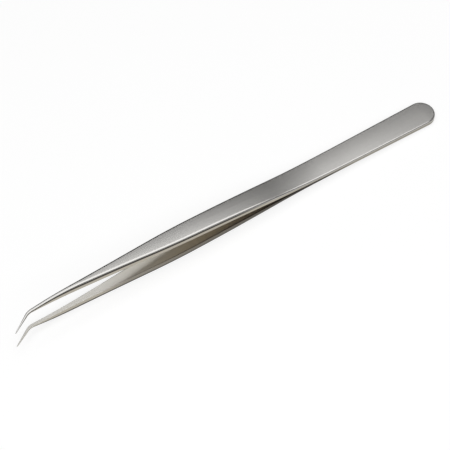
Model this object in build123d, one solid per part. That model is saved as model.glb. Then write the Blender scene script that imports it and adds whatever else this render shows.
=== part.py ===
from build123d import *
import math
import os

# all sizes are in millimetres and angles in degrees
# each arm is described from the heel end forward, on the middle plane between the two arms

# the pair from the heel end to the tips, and how much of that the bent points take
overall_length = 140.0
point_reach = 6.0

# widths of an arm across its broad face
heel_width = 8.07
body_width = 6.25
front_width = 4.73
blade_width = 1.25
neck_width = 0.9
tip_width = 0.2

# lengths of the stretches between those widths, counted back from the bend
blade_length = 21.0
nose_length = 12.4
front_length = 36.5

# thicknesses of an arm from its inner face to its outer face
heel_thickness = 0.88
body_thickness = 2.0
blade_thickness = 2.2
neck_thickness = 0.74
tip_thickness = 0.2

# the thin heel leaf, the stretch in which it grows into the body, and the taper before the bend
leaf_length = 42.8
growth_length = 27.7
neck_taper_length = 10.7

# halves of the opening between the inner faces at rest
mid_half_gap = 2.32
neck_half_gap = 3.48
tip_half_gap = 3.1

# the stretch in which the inner faces lie flat on each other, and where the opening is measured
joint_length = 40.0
mid_gap_before_bend = 48.8
close_before_bend = 2.0

# reach of the easing on each side of a change of direction
body_ease = 27.5
front_ease = 17.6
blade_ease = 16.2
leaf_ease = 14.7
growth_ease = 13.0
neck_ease = 5.6
joint_ease = 8.0
close_ease = 6.0
round_ease = 6.0

# the bow eases in over this share of the way from the joint to where the opening is measured
bow_share = 0.574

# the bend of the points within the plane of the broad faces
bend_angle = 32.2
bend_radius = 3.85

# rounding of the long outer edges, and its largest share of a narrow blade's half width
heel_round = 0.3
body_round = 0.6
round_share = 0.75

# length of the flat heel leaf that is a plain plate
plate_length = 26.0

# how far the rough bar reaches under the inner face before it is ground to it
grind_depth = 0.6
grind_spare = 3.0

# numbers of stretches between cross sections and between points of a curve
body_steps = 20
bend_steps = 4
bow_steps = 14
lean_steps = 200

# places along the arm that follow from the lengths above
bend_at = overall_length - point_reach
blade_at = bend_at - blade_length
front_at = blade_at - nose_length
body_at = front_at - front_length
growth_end = leaf_length + growth_length
taper_from = bend_at - neck_taper_length
open_from = joint_length + joint_ease
mid_gap_at = bend_at - mid_gap_before_bend
bow_ease = bow_share * (mid_gap_at - joint_length)
close_from = bend_at - close_before_bend

# the middle line runs straight, turns round the bend radius and runs straight to the tip
turn = math.radians(bend_angle)
bend_cut = bend_radius * math.tan(turn / 2)
bend_start = bend_at - bend_cut
bend_end = bend_start + bend_radius * turn
line_end = bend_end + point_reach / math.cos(turn) - bend_cut


# zero before a corner, a straight climb after it, and a parabola within the reach of the corner
def ramp(past, reach):
    if past <= -reach:
        return 0.0
    if past >= reach:
        return past
    return (past + reach) ** 2 / (4.0 * reach)


# straight runs between the given places, with each inner corner eased over its reach
def eased_line(at, places, values, reaches):
    slopes = []
    for i in range(len(places) - 1):
        slopes.append((values[i + 1] - values[i]) / (places[i + 1] - places[i]))
    value = values[0] + slopes[0] * (at - places[0])
    for i in range(1, len(slopes)):
        value += (slopes[i] - slopes[i - 1]) * ramp(at - places[i], reaches[i - 1])
    return value


def half_width(along):
    places = [0.0, body_at, front_at, blade_at, bend_start]
    widths = [heel_width, body_width, front_width, blade_width, neck_width]
    return eased_line(along, places, widths, [body_ease, front_ease, blade_ease]) / 2


def thickness(along):
    places = [0.0, leaf_length, growth_end, taper_from, bend_start]
    values = [heel_thickness, heel_thickness, body_thickness, blade_thickness, neck_thickness]
    return eased_line(along, places, values, [leaf_ease, growth_ease, neck_ease])


def half_gap(along):
    places = [0.0, open_from, mid_gap_at, close_from, overall_length]
    values = [0.0, 0.0, mid_half_gap, neck_half_gap, tip_half_gap]
    return eased_line(along, places, values, [joint_ease, bow_ease, close_ease])


# the outer edges are rounded more along the body than at the heel, and less where it is narrow
def edge_round(along, half):
    places = [0.0, leaf_length, growth_end, line_end]
    values = [heel_round, heel_round, body_round, body_round]
    return min(eased_line(along, places, values, [round_ease, round_ease]), round_share * half)


# place and turn of the middle line, with the heel end at x = 0 and the tips toward minus X
def on_line(along):
    if along <= bend_start:
        return -along, 0.0, 0.0
    turned = min((along - bend_start) / bend_radius, turn)
    past = max(along - bend_end, 0.0)
    x = -bend_start - bend_radius * math.sin(turned) - past * math.cos(turned)
    y = -bend_radius * (1.0 - math.cos(turned)) - past * math.sin(turned)
    return x, y, turned


# a cross section square to the middle line: flat foot, upright sides, two rounded upper corners
def cross_section(along, half, thick):
    x, y, turned = on_line(along)
    place = Plane(origin=(x, y, 0), x_dir=(-math.sin(turned), math.cos(turned), 0),
                  z_dir=(math.cos(turned), math.sin(turned), 0))
    top = half_gap(-x) + thick
    low = half_gap(-x) - grind_depth
    r = edge_round(along, half)
    dip = r * (1.0 - math.sqrt(0.5))
    outline = Curve() + [
        Line((-half, low), (half, low)),
        Line((half, low), (half, top - r)),
        ThreePointArc((half, top - r), (half - dip, top - dip), (half - r, top)),
        Line((half - r, top), (-half + r, top)),
        ThreePointArc((-half + r, top), (-half + dip, top - dip), (-half, top - r)),
        Line((-half, top - r), (-half, low)),
    ]
    return place * make_face(outline)


def body_section(step):
    along = plate_length + (bend_start - plate_length) * step / body_steps
    return cross_section(along, half_width(along), thickness(along))


# past the neck the arm slims evenly in width and thickness down to the tip
def point_section(along):
    share = (along - bend_start) / (line_end - bend_start)
    half = (neck_width + (tip_width - neck_width) * share) / 2
    return cross_section(along, half, neck_thickness + (tip_thickness - neck_thickness) * share)


def bend_section(step):
    return point_section(bend_start + (bend_end - bend_start) * step / bend_steps)


# heel leaf: flat and evenly tapering, with a half round end turned from the same cross section
def make_leaf():
    side_slope = (half_width(0.0) - half_width(plate_length)) / plate_length
    end_radius = half_width(0.0) / (1.0 + side_slope)
    first = cross_section(end_radius, end_radius, heel_thickness)
    plate = loft([first, body_section(0)], ruled=True)
    quarter = split(first, Plane.XZ, keep=Keep.TOP)
    axis = Axis((-end_radius, 0, 0), (0, 0, 1))
    return plate + revolve(quarter, axis, 180)


# bar: the body lofted up to the bend, the neck carried round it, and a straight fine point
def make_bar():
    body = loft([body_section(step) for step in range(body_steps + 1)])
    bend = loft([bend_section(step) for step in range(bend_steps + 1)])
    point = loft([point_section(bend_end), point_section(line_end)], ruled=True)
    return body + bend + point


# what is ground away under the inner face: level over the joint, then along the gentle bow
def make_grinding():
    run_out = overall_length + grind_spare
    bow_points = []
    for step in range(bow_steps + 1):
        at = joint_length + (run_out - joint_length) * step / bow_steps
        bow_points.append((-at, half_gap(at)))
    end_slope = (neck_half_gap - tip_half_gap) / (overall_length - close_from)
    bow = Spline(bow_points, tangents=[(-1, 0), (-1, -end_slope)])
    low = -grind_depth - grind_spare
    outline = Curve() + [
        Line((grind_spare, 0), (-joint_length, 0)),
        bow,
        Line(bow @ 1, (-run_out, low)),
        Line((-run_out, low), (grind_spare, low)),
        Line((grind_spare, low), (grind_spare, 0)),
    ]
    side = Plane(origin=(0, heel_width, 0), x_dir=(1, 0, 0), z_dir=(0, -1, 0))
    across = 2 * heel_width + point_reach * math.tan(turn)
    return extrude(side * make_face(outline), across)


# the arms are alike, and mirror each other in the middle plane between them
upper = make_leaf() + make_bar() - make_grinding()
lower = mirror(upper, Plane.XY)

# the pair lies on its lower arm: the heel end and the fullest part of the blade touch the ground
lean = 0.0
for step in range(1, lean_steps + 1):
    at = bend_start * step / lean_steps
    lean = max(lean, math.atan((half_gap(at) + thickness(at) - heel_thickness) / at))
laid = Rot(0, math.degrees(lean), 0)
upper = laid * upper
lower = laid * lower

# the origin is on the ground, under the middle of the bounding box
box = Compound([upper.solid(), lower.solid()]).bounding_box()
shift = Pos(-(box.min.X + box.max.X) / 2, -(box.min.Y + box.max.Y) / 2, -box.min.Z)
upper_arm = shift * upper
lower_arm = shift * lower

os.makedirs("parts", exist_ok=True)
export_step(upper_arm, "parts/upper_arm.step")
export_step(lower_arm, "parts/lower_arm.step")
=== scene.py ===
import bmesh
import bpy
import math
import numpy as np
from mathutils import Matrix, Vector


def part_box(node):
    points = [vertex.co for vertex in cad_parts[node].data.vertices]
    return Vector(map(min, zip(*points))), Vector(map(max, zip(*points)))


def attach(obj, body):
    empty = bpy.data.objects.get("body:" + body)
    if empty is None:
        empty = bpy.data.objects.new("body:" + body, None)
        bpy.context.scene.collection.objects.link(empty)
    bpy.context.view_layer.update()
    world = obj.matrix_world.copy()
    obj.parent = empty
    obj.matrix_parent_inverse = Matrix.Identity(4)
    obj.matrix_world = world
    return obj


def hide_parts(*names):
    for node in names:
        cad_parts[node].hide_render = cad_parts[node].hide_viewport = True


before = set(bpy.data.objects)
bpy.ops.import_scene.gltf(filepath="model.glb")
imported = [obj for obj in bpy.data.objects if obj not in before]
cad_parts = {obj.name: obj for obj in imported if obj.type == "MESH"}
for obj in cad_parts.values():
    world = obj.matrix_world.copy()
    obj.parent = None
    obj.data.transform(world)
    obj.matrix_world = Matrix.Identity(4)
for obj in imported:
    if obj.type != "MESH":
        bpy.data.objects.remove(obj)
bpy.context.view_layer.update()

# The two arms are strips of stainless steel, alike and mirrored in the plane between them, and
# spot welded face to face over the heel. Each is ground to a thin heel leaf, a thick body, a
# narrow blade and a fine point bent sideways, and then satin finished along its length.

# sizes are in millimetres, and places are measured along an arm from its heel end
metres_per_millimetre = 0.001
overall_length = 140.0
point_reach = 6.0
heel_width = 8.07
body_width = 6.25
front_width = 4.73
blade_width = 1.25
neck_width = 0.9
tip_width = 0.2
blade_length = 21.0
nose_length = 12.4
front_length = 36.5
heel_thickness = 0.88
body_thickness = 2.0
blade_thickness = 2.2
neck_thickness = 0.74
tip_thickness = 0.2
leaf_length = 42.8
growth_length = 27.7
neck_taper_length = 10.7
mid_half_gap = 2.32
neck_half_gap = 3.48
tip_half_gap = 3.1
joint_length = 40.0
mid_gap_before_bend = 48.8
close_before_bend = 2.0
bow_share = 0.574
bend_angle = math.radians(32.2)
bend_radius = 3.85

# how far the eased corners of the width, the thickness and the opening reach
width_eases = [27.5, 17.6, 16.2]
thickness_eases = [14.7, 13.0, 5.6]
joint_ease = 8.0
close_ease = 6.0

# rounding of the long outer corners, and its largest share of a narrow blade's half width
heel_round = 0.4
body_round = 0.6
round_ease = 6.0
round_share = 0.75

# break of the inner corners and its largest share of the thickness, the crown of the outer faces,
# and the length of the domed end of the tip
inner_break = 0.06
break_share = 0.2
crown_radius = 300.0
tip_dome = 0.12

# distance between the rows of points on the straight, and numbers of rows on the other stretches
row_step = 0.4
fan_rows = 31
bend_rows = 14
point_rows = 23
dome_rows = 9

# columns of an arm's profile: how far they lie over the outer face, the side and the inner face,
# as shares of each, and how many go round the rounded and the broken corner
face_columns = np.array([0.0, 0.2, 0.4, 0.6, 0.8, 0.92, 0.98, 1.0])
round_columns = 10
side_columns = np.array([0.05, 0.15, 0.23, 0.31, 0.65, 0.96])
break_columns = 5
inner_columns = np.array([0.03, 0.2, 0.6, 1.0])

# the columns at which the side begins, the broken corner ends, and the inner face's tone begins,
# which is halfway round that corner
side_from = face_columns.size + round_columns
break_end = side_from + side_columns.size + break_columns
inner_from = side_from + side_columns.size + break_columns // 2

# points this near to each other, in metres, are one
merge_distance = 1e-7

# the places at which the lean is tried: where the first one is, and how many there are
lean_from = 1.0
lean_tries = 400

# tones of the outer faces, the sides, the inner faces at the back and at the front, and the dark
# one of the line where a rounding meets a side, as shares of the steel's own colour. The sides'
# darker warm tint is a painted reflection of the shaded floor, the inner faces' lighter, warm tones
# are painted light in the gap between the arms, and the dark one is that of painted shade and a
# painted dark reflection
face_tone = np.array([1.0, 1.0, 1.0])
side_painted_tint = np.array([0.95, 0.90, 0.78])
inner_back_painted_light = np.array([1.12, 1.04, 0.90])
inner_front_painted_light = np.array([1.22, 1.21, 1.17])
painted_dark_tone = np.array([0.05, 0.04, 0.03])

# the painted dark line, a painted dark reflection along the end of the rounding: how far its tone
# has gone to the dark one at places along an arm, and on the columns counted from the side's first
# one, past which it keeps the last share
painted_line_places = [34.0, 44.0, 58.0, 70.0]
painted_line_shares = [0.0, 0.15, 0.25, 1.0]
painted_line_columns = [-5, -4, -3, 1, 2, 3]
painted_line_column_shares = [0.0, 0.3, 1.0, 1.0, 0.7, 0.1]

# painted shade on the sides: how far their tone has gone to the dark one at places along an arm.
# The upper arm's are darker toward the heel, and the lower arm's, close to the floor, are darkest
# where the arms part
upper_painted_shade_places = [45.0, 62.0]
upper_painted_shade_shares = [0.38, 0.0]
lower_painted_shade_places = [30.0, 40.0, 48.0, 59.0, 70.0, 81.0, 93.0, 104.0, 115.0]
lower_painted_shade_shares = [0.4, 1.0, 1.0, 0.9, 0.75, 0.68, 0.55, 0.45, 0.0]

# the columns between which the painted shade on the sides lies, and how many of them it takes to
# reach
# its full share: on the upper arm it fades in at the end of the rounding and ends with the side,
# and on the lower arm it takes in the rounding, which faces the floor, and all of the inner corner
painted_shade_fade = 2
upper_painted_shade_columns = (side_from - painted_shade_fade, inner_from)
lower_painted_shade_columns = (face_columns.size, break_end + 1)

# places between which an inner face passes from its tone, painted light included, and roughness at
# the back to the front's
inner_places = [80.0, 112.0]

# roughness of the outer faces, the rounded corners, the sides and the inner faces
face_rough = 0.22
corner_rough = 0.1
side_rough = 0.3
inner_back_rough = 0.45
inner_front_rough = 0.28

bend_at = overall_length - point_reach
blade_at = bend_at - blade_length
front_at = blade_at - nose_length
body_at = front_at - front_length
mid_gap_at = bend_at - mid_gap_before_bend
bend_cut = bend_radius * math.tan(bend_angle / 2)
bend_start = bend_at - bend_cut
bend_end = bend_start + bend_radius * bend_angle
line_end = bend_end + point_reach / math.cos(bend_angle) - bend_cut


def ramp(past, reach):
    """Zero before a corner, a straight climb after it, and a parabola within its reach."""
    eased = (past + reach) ** 2 / (4.0 * reach)
    return np.where(past <= -reach, 0.0, np.where(past >= reach, past, eased))


def eased_line(at, places, values, reaches):
    """Straight runs between the places, with each inner corner eased over its reach."""
    slopes = np.diff(values) / np.diff(places)
    line = values[0] + slopes[0] * (at - places[0])
    for i in range(1, len(slopes)):
        line = line + (slopes[i] - slopes[i - 1]) * ramp(at - places[i], reaches[i - 1])
    return line


def half_opening(along):
    """Half the distance between the inner faces: none over the joint, then a gentle bow."""
    places = [0.0, joint_length + joint_ease, mid_gap_at, bend_at - close_before_bend,
              overall_length]
    values = [0.0, 0.0, mid_half_gap, neck_half_gap, tip_half_gap]
    bow_ease = bow_share * (mid_gap_at - joint_length)
    return eased_line(along, places, values, [joint_ease, bow_ease, close_ease])


def arm_stations(along):
    """Middle line, turn, half width, thickness and corner radius at places along an arm.
    The middle line is straight, an arc round the bend radius, and straight again. Before the
    bend the sizes are eased lines, and past it they fall evenly to those of the tip."""
    turn = np.clip((along - bend_start) / bend_radius, 0.0, bend_angle)
    past = np.maximum(along - bend_end, 0.0)
    x = -np.minimum(along, bend_start) - bend_radius * np.sin(turn) - past * np.cos(turn)
    y = -bend_radius * (1.0 - np.cos(turn)) - past * np.sin(turn)
    half = eased_line(along, [0.0, body_at, front_at, blade_at, bend_start],
                      [heel_width, body_width, front_width, blade_width, neck_width],
                      width_eases) / 2.0
    thick = eased_line(along, [0.0, leaf_length, leaf_length + growth_length,
                               bend_at - neck_taper_length, bend_start],
                       [heel_thickness, heel_thickness, body_thickness, blade_thickness,
                        neck_thickness], thickness_eases)
    share = np.clip((along - bend_start) / (line_end - bend_start), 0.0, 1.0)
    bent = along > bend_start
    half = np.where(bent, (neck_width + (tip_width - neck_width) * share) / 2.0, half)
    thick = np.where(bent, neck_thickness + (tip_thickness - neck_thickness) * share, thick)
    corner = eased_line(along, [0.0, leaf_length, leaf_length + growth_length, line_end],
                        [heel_round, heel_round, body_round, body_round],
                        [round_ease, round_ease])
    return x, y, turn, half, thick, np.minimum(corner, round_share * half)


def arm_half(hand, painted_shade_places, painted_shade_shares, shade):
    """One half of an arm, left or right of its middle line, as a grid of points, of places along
    and across the grain, of tones and of roughness. Rows fan round the half round heel end and
    then follow the middle line to the tip. Columns carry the edge's profile: out over the outer
    face, which sinks with the square of the way out, round the corner, down the side, round the
    inner corner and back in over the inner face, which follows the opening. The last rows shrink
    as a quarter circle does, which domes the tip."""
    side_slope = (heel_width - body_width) / (2.0 * body_at)
    end_radius = heel_width / 2.0 / (1.0 + side_slope)
    fan = np.radians(np.linspace(0.0, 90.0, fan_rows))
    dome_turn = np.radians(np.linspace(0.0, 90.0, dome_rows))
    dome = line_end - tip_dome + tip_dome * np.sin(dome_turn)
    straight = np.arange(end_radius + row_step, bend_start, row_step)
    bent = np.linspace(bend_start, bend_end, bend_rows + 1)[:-1]
    point = np.linspace(bend_end, line_end - tip_dome, point_rows + 1)[:-1]
    along = np.concatenate([np.full(fan.size, end_radius), straight, bent, point, dome])
    angle = np.concatenate([fan, np.full(along.size - fan.size, np.pi / 2)])
    x, y, turn, half, thick, corner = arm_stations(along)
    half[:fan.size] = end_radius
    into_dome = ((along - line_end) / tip_dome + 1.0).clip(0.0)
    shrink = np.sqrt(np.clip(1.0 - into_dome ** 2, 0.0, 1.0))
    top = half_opening(-x) + thick
    sink = half ** 2 / (2.0 * crown_radius)

    # columns as distances out from the middle line and heights over the plane between the arms
    one = np.ones_like(along)[:, None]
    half, corner, top, sink, thick = (v[:, None] for v in (half, corner, top, sink, thick))
    broken = np.minimum(inner_break, break_share * thick)
    round_off = np.radians(np.linspace(0.0, 90.0, round_columns + 1))[None, 1:]
    break_off = np.radians(np.linspace(0.0, 90.0, break_columns))[None, :]
    face_reach = (half - corner) * face_columns
    face_height = top - sink * face_columns ** 2
    corner_reach = half - corner + corner * np.sin(round_off)
    corner_height = top - sink - corner * (1.0 - np.cos(round_off))
    reach = [face_reach, corner_reach]
    height = [face_height, corner_height]
    inner_reach = np.concatenate([half - broken * (1.0 - np.sin(np.pi / 2 - break_off)),
                                  (half - broken) * (1.0 - inner_columns)], axis=1)
    outward_x = np.cos(angle) * np.cos(turn) - np.sin(angle) * np.sin(turn) * hand
    outward_y = np.cos(angle) * np.sin(turn) + np.sin(angle) * np.cos(turn) * hand
    low = half_opening(-(x[:, None] + outward_x[:, None] * inner_reach))
    rise = np.concatenate([broken * (1.0 - np.sin(break_off)),
                           np.zeros((along.size, inner_columns.size))], axis=1)
    inner_height = low + rise
    side_top, side_foot = corner_height[:, -1:], inner_height[:, :1]
    reach += [half * np.ones(side_columns.size), inner_reach]
    height += [side_top + (side_foot - side_top) * side_columns, inner_height]
    reach, height = np.concatenate(reach, axis=1), np.concatenate(height, axis=1)

    middle = (height[:, :1] + height[:, -1:]) / 2.0
    reach = reach * shrink[:, None]
    height = middle + (height - middle) * shrink[:, None]
    points = np.stack([x[:, None] + outward_x[:, None] * reach,
                       y[:, None] + outward_y[:, None] * reach, height], axis=-1)
    steps = np.hypot(np.diff(reach, axis=1), np.diff(height, axis=1))
    run = np.concatenate([np.zeros_like(one), np.cumsum(steps, axis=1)], axis=1)
    grain_along = along[:, None] - np.cos(angle)[:, None] * reach
    grain_across = hand * (np.sin(angle)[:, None] * reach + run - reach)

    # tones: each face has its own, the sides' with a painted warm tint and the inner faces' with
    # painted light, and the painted dark line and the painted shade go from it to the dark one
    columns = np.arange(reach.shape[1])
    on_side = (columns >= side_from) & (columns < inner_from)
    on_inner = columns >= inner_from
    # painted light on the inner faces and a painted warm tint on the sides
    front = np.interp(along, inner_places, [0.0, 1.0])[:, None, None]
    tone = np.where(on_side[None, :, None], side_painted_tint, face_tone) * one[:, :, None]
    inner_painted_light = inner_back_painted_light + (inner_front_painted_light - inner_back_painted_light) * front
    tone = np.where(on_inner[None, :, None], inner_painted_light, tone)
    # the painted dark line: a painted dark reflection where the rounding meets the side
    line = np.interp(columns - side_from, painted_line_columns, painted_line_column_shares)
    line = np.outer(np.interp(along, painted_line_places, painted_line_shares), line)
    # painted shade on the sides, darkest on the lower arm close to the floor
    painted_shading = np.clip((columns - shade[0]) / painted_shade_fade, 0.0, 1.0) * (columns < shade[1])
    side = np.outer(np.interp(along, painted_shade_places, painted_shade_shares), painted_shading)
    tone = tone + (painted_dark_tone - tone) * np.maximum(line, side)[:, :, None]

    # roughness: the outer face's passes into the smoother corner's between its last column but one
    # and the corner's first, and the side and the inner face have their own
    rough = np.interp(columns, [face_columns.size - 2, face_columns.size],
                      [face_rough, corner_rough])
    rough = np.where(on_side, side_rough, rough) * one
    inner_rough = inner_back_rough + (inner_front_rough - inner_back_rough) * front[:, :, 0]
    rough = np.where(on_inner, inner_rough, rough)
    return points, np.stack([grain_along, grain_across], axis=-1), tone, rough


def arm_mesh(name, flip):
    """Both halves as one closed skin: the two grids of quads, turned over for the lower arm,
    leaned so that the pair lies on its lower arm, and merged where the halves meet."""
    # each arm gets its own painted shade on its sides
    if flip < 0.0:
        painted_shade_setup = lower_painted_shade_places, lower_painted_shade_shares, lower_painted_shade_columns
    else:
        painted_shade_setup = upper_painted_shade_places, upper_painted_shade_shares, upper_painted_shade_columns
    points, grain, tones, roughs, quads, start = [], [], [], [], [], 0
    for hand in (1.0, -1.0):
        grid, places, tone, rough = arm_half(hand, *painted_shade_setup)
        rows, columns = grid.shape[:2]
        number = start + np.arange(rows * columns).reshape(rows, columns)
        quads.append(np.stack([number[:-1, :-1], number[1:, :-1], number[1:, 1:],
                               number[:-1, 1:]], axis=-1).reshape(-1, 4))
        points.append(grid.reshape(-1, 3))
        grain.append(places.reshape(-1, 2))
        tones.append(tone.reshape(-1, 3))
        roughs.append(rough.ravel())
        start += rows * columns
    points, grain = np.concatenate(points), np.concatenate(grain)
    tones, quads = np.concatenate(tones), np.concatenate(quads)
    points[:, 2] *= flip
    along = np.linspace(lean_from, bend_start, lean_tries)
    thick = arm_stations(along)[4]
    lean = np.arctan((half_opening(along) + thick - heel_thickness) / along).max()
    turned = np.array([[math.cos(lean), 0.0, math.sin(lean)], [0.0, 1.0, 0.0],
                       [-math.sin(lean), 0.0, math.cos(lean)]])
    points = points @ turned.T

    mesh = bpy.data.meshes.new(name)
    mesh.from_pydata(points * metres_per_millimetre, [], quads)
    corners = np.zeros(len(mesh.loops), np.int32)
    mesh.loops.foreach_get("vertex_index", corners)
    layer = mesh.uv_layers.new(name="grain")
    grain = grain[corners] * metres_per_millimetre
    layer.uv.foreach_set("vector", grain.astype(np.float32).ravel())
    # the tone mark holds the faces' colours with the painted dark line, painted shade and painted
    # light
    colours = np.concatenate([tones, np.ones((tones.shape[0], 1))], axis=1)
    painted_light_and_shade_mark = mesh.attributes.new("tone", "FLOAT_COLOR", "POINT")
    painted_light_and_shade_mark.data.foreach_set("color", colours.astype(np.float32).ravel())
    rough_mark = mesh.attributes.new("finish", "FLOAT", "POINT")
    rough_mark.data.foreach_set("value", np.concatenate(roughs).astype(np.float32))
    skin = bmesh.new()
    skin.from_mesh(mesh)
    bmesh.ops.remove_doubles(skin, verts=skin.verts, dist=merge_distance)
    bmesh.ops.recalc_face_normals(skin, faces=skin.faces)
    skin.to_mesh(mesh)
    skin.free()
    mesh.shade_smooth()
    return mesh


lower_mesh = arm_mesh("lower_arm_steel", -1.0)
upper_mesh = arm_mesh("upper_arm_steel", 1.0)
lower_points = np.zeros(len(lower_mesh.vertices) * 3, np.float32)
lower_mesh.vertices.foreach_get("co", lower_points)
lower_points = lower_points.reshape(-1, 3)

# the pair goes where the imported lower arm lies: the heel end, the far side and the ground agree
node_low, node_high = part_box("lower_arm")
place = Vector((node_high.x - lower_points[:, 0].max(), node_high.y - lower_points[:, 1].max(),
                node_low.z - lower_points[:, 2].min()))

# satin steel: fine streaks along the grain vary its tone, its roughness and its bump. The tone that
# the arms' points carry gives each face its colour along with the painted dark line, the painted
# shade and the painted light, and their finish gives each face its roughness
steel_light = (0.63, 0.62, 0.60, 1.0)
steel_dark = (0.56, 0.55, 0.53, 1.0)
streaks_per_metre = (20.0, 2600.0, 1.0)
streak_detail = 4.0
anisotropy = 0.4
rough_spread = 0.04
bump_strength = 0.3
bump_depth = 0.00001

steel = bpy.data.materials.new("satin_steel")
steel.use_nodes = True
nodes, links = steel.node_tree.nodes, steel.node_tree.links
shader = nodes["Principled BSDF"]
shader.inputs["Metallic"].default_value = 1.0
shader.inputs["Anisotropic"].default_value = anisotropy

grain_map = nodes.new("ShaderNodeUVMap")
grain_map.uv_map = "grain"
stretch = nodes.new("ShaderNodeMapping")
stretch.inputs["Scale"].default_value = streaks_per_metre
links.new(grain_map.outputs["UV"], stretch.inputs["Vector"])
streaks = nodes.new("ShaderNodeTexNoise")
streaks.inputs["Scale"].default_value = 1.0
streaks.inputs["Detail"].default_value = streak_detail
links.new(stretch.outputs["Vector"], streaks.inputs["Vector"])

tone = nodes.new("ShaderNodeMix")
tone.data_type = "RGBA"
tone.inputs["A"].default_value = steel_dark
tone.inputs["B"].default_value = steel_light
links.new(streaks.outputs["Fac"], tone.inputs["Factor"])

# the points' tone, painted light and painted shade included, multiplies the streaked colour
painted_light_and_shade_mark = nodes.new("ShaderNodeAttribute")
painted_light_and_shade_mark.attribute_name = "tone"
painted_shading = nodes.new("ShaderNodeMix")
painted_shading.data_type = "RGBA"
painted_shading.blend_type = "MULTIPLY"
painted_shading.inputs["Factor"].default_value = 1.0
links.new(tone.outputs["Result"], painted_shading.inputs["A"])
links.new(painted_light_and_shade_mark.outputs["Color"], painted_shading.inputs["B"])
links.new(painted_shading.outputs["Result"], shader.inputs["Base Color"])

finish_mark = nodes.new("ShaderNodeAttribute")
finish_mark.attribute_name = "finish"
uneven = nodes.new("ShaderNodeMapRange")
uneven.inputs["To Min"].default_value = -rough_spread
uneven.inputs["To Max"].default_value = rough_spread
links.new(streaks.outputs["Fac"], uneven.inputs["Value"])
rough = nodes.new("ShaderNodeMath")
links.new(finish_mark.outputs["Fac"], rough.inputs[0])
links.new(uneven.outputs["Result"], rough.inputs[1])
links.new(rough.outputs["Value"], shader.inputs["Roughness"])

bump = nodes.new("ShaderNodeBump")
bump.inputs["Strength"].default_value = bump_strength
bump.inputs["Distance"].default_value = bump_depth
links.new(streaks.outputs["Fac"], bump.inputs["Height"])
links.new(bump.outputs["Normal"], shader.inputs["Normal"])

way = nodes.new("ShaderNodeTangent")
way.direction_type = "UV_MAP"
way.uv_map = "grain"
links.new(way.outputs["Tangent"], shader.inputs["Tangent"])

for mesh, node in ((lower_mesh, "lower_arm"), (upper_mesh, "upper_arm")):
    mesh.transform(Matrix.Translation(place))
    mesh.materials.append(steel)
    arm = bpy.data.objects.new(mesh.name, mesh)
    bpy.context.scene.collection.objects.link(arm)
    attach(arm, "root")
    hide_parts(node)

# The floor is a plain white board that the pair lies on. Its own lit colour is grey, and a white
# glow for camera, glossy and transmission rays lifts it to the white of the photograph. Glossy
# rays see only a share of that glow.
floor_reach = 3.0
board_colour = (0.4, 0.4, 0.4, 1.0)
board_glow = 0.7
glossy_share = 0.8
floor_mesh = bpy.data.meshes.new("floor")
floor_mesh.from_pydata([(-floor_reach, -floor_reach, 0.0), (floor_reach, -floor_reach, 0.0),
                        (floor_reach, floor_reach, 0.0), (-floor_reach, floor_reach, 0.0)],
                       [], [(0, 1, 2, 3)])
floor = bpy.data.objects.new("floor", floor_mesh)
bpy.context.scene.collection.objects.link(floor)

board = bpy.data.materials.new("white_board")
board.use_nodes = True
nodes, links = board.node_tree.nodes, board.node_tree.links
nodes.remove(nodes["Principled BSDF"])
lit = nodes.new("ShaderNodeBsdfDiffuse")
lit.inputs["Color"].default_value = board_colour
glow = nodes.new("ShaderNodeEmission")
glow.inputs["Color"].default_value = (1.0, 1.0, 1.0, 1.0)
rays = nodes.new("ShaderNodeLightPath")
dim_gloss = nodes.new("ShaderNodeMath")
dim_gloss.operation = "MULTIPLY"
dim_gloss.inputs[1].default_value = glossy_share
links.new(rays.outputs["Is Glossy Ray"], dim_gloss.inputs[0])
camera_or_gloss = nodes.new("ShaderNodeMath")
camera_or_gloss.operation = "MAXIMUM"
links.new(rays.outputs["Is Camera Ray"], camera_or_gloss.inputs[0])
links.new(dim_gloss.outputs["Value"], camera_or_gloss.inputs[1])
any_of_three = nodes.new("ShaderNodeMath")
any_of_three.operation = "MAXIMUM"
links.new(camera_or_gloss.outputs["Value"], any_of_three.inputs[0])
links.new(rays.outputs["Is Transmission Ray"], any_of_three.inputs[1])
glow_level = nodes.new("ShaderNodeMath")
glow_level.operation = "MULTIPLY"
glow_level.inputs[1].default_value = board_glow
links.new(any_of_three.outputs["Value"], glow_level.inputs[0])
links.new(glow_level.outputs["Value"], glow.inputs["Strength"])
both = nodes.new("ShaderNodeAddShader")
links.new(lit.outputs["BSDF"], both.inputs[0])
links.new(glow.outputs["Emission"], both.inputs[1])
links.new(both.outputs["Shader"], nodes["Material Output"].inputs["Surface"])
floor_mesh.materials.append(board)

# The light is one large soft box overhead and a dim grey room. A dark card stands along the far
# side of the pair and darkens the round edges there. Places are in metres.
room_colour = (0.19, 0.19, 0.19, 1.0)
box_height = 0.6
box_low, box_high = (-0.55, -0.9), (0.418, 0.36)
box_radiance = 1.25
card_colour = (0.02, 0.02, 0.02, 1.0)
card_rough = 0.9
card_reach, card_beside, card_tall = 0.6, 0.3, 0.35

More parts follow.
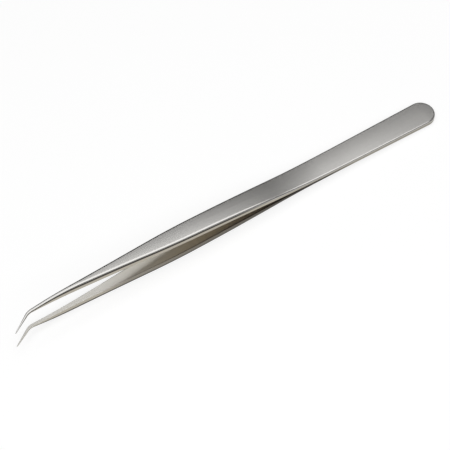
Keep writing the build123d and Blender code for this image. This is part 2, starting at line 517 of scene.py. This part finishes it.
room = bpy.data.worlds.new("grey_room")
room.use_nodes = True
room.node_tree.nodes["Background"].inputs["Color"].default_value = room_colour
room.node_tree.nodes["Background"].inputs["Strength"].default_value = 1.0
bpy.context.scene.world = room

box_size = [box_high[0] - box_low[0], box_high[1] - box_low[1]]
overhead = bpy.data.lights.new("overhead_box", "AREA")
overhead.shape = "RECTANGLE"
overhead.size, overhead.size_y = box_size
overhead.energy = box_radiance * box_size[0] * box_size[1] * math.pi
holder = bpy.data.objects.new("overhead_box", overhead)
holder.location = ((box_low[0] + box_high[0]) / 2, (box_low[1] + box_high[1]) / 2, box_height)
holder.visible_camera = False
bpy.context.scene.collection.objects.link(holder)

card_paint = bpy.data.materials.new("dark_card")
card_paint.use_nodes = True
card_shader = card_paint.node_tree.nodes["Principled BSDF"]
card_shader.inputs["Base Color"].default_value = card_colour
card_shader.inputs["Roughness"].default_value = card_rough
card_mesh = bpy.data.meshes.new("far_card")
card_mesh.from_pydata([(-card_reach, card_beside, 0.0), (card_reach, card_beside, 0.0),
                       (card_reach, card_beside, card_tall), (-card_reach, card_beside, card_tall)],
                      [], [(0, 1, 2, 3)])
card_mesh.materials.append(card_paint)
card = bpy.data.objects.new("far_card", card_mesh)
card.visible_camera = False
bpy.context.scene.collection.objects.link(card)

# The camera looks down at the pair from the side of the points, at the photograph's angle. Its
# distance and the place that it looks at are in metres.
camera_azimuth = math.radians(33.67)
camera_elevation = math.radians(55.79)
camera_distance = 0.5223
camera_target = Vector((-0.00286, -0.00182, 0.003))
lens = 152.0
away = Vector((-math.sin(camera_azimuth) * math.cos(camera_elevation),
               -math.cos(camera_azimuth) * math.cos(camera_elevation),
               math.sin(camera_elevation)))
camera = bpy.data.objects.new("camera", bpy.data.cameras.new("camera"))
camera.data.lens = lens
camera.data.clip_start = 0.01
camera.data.clip_end = 20.0
camera.location = camera_target + away * camera_distance
camera.rotation_mode = "QUATERNION"
camera.rotation_quaternion = (-away).to_track_quat("-Z", "Y")
bpy.context.scene.collection.objects.link(camera)
bpy.context.scene.camera = camera
bpy.context.scene.view_settings.view_transform = "Standard"
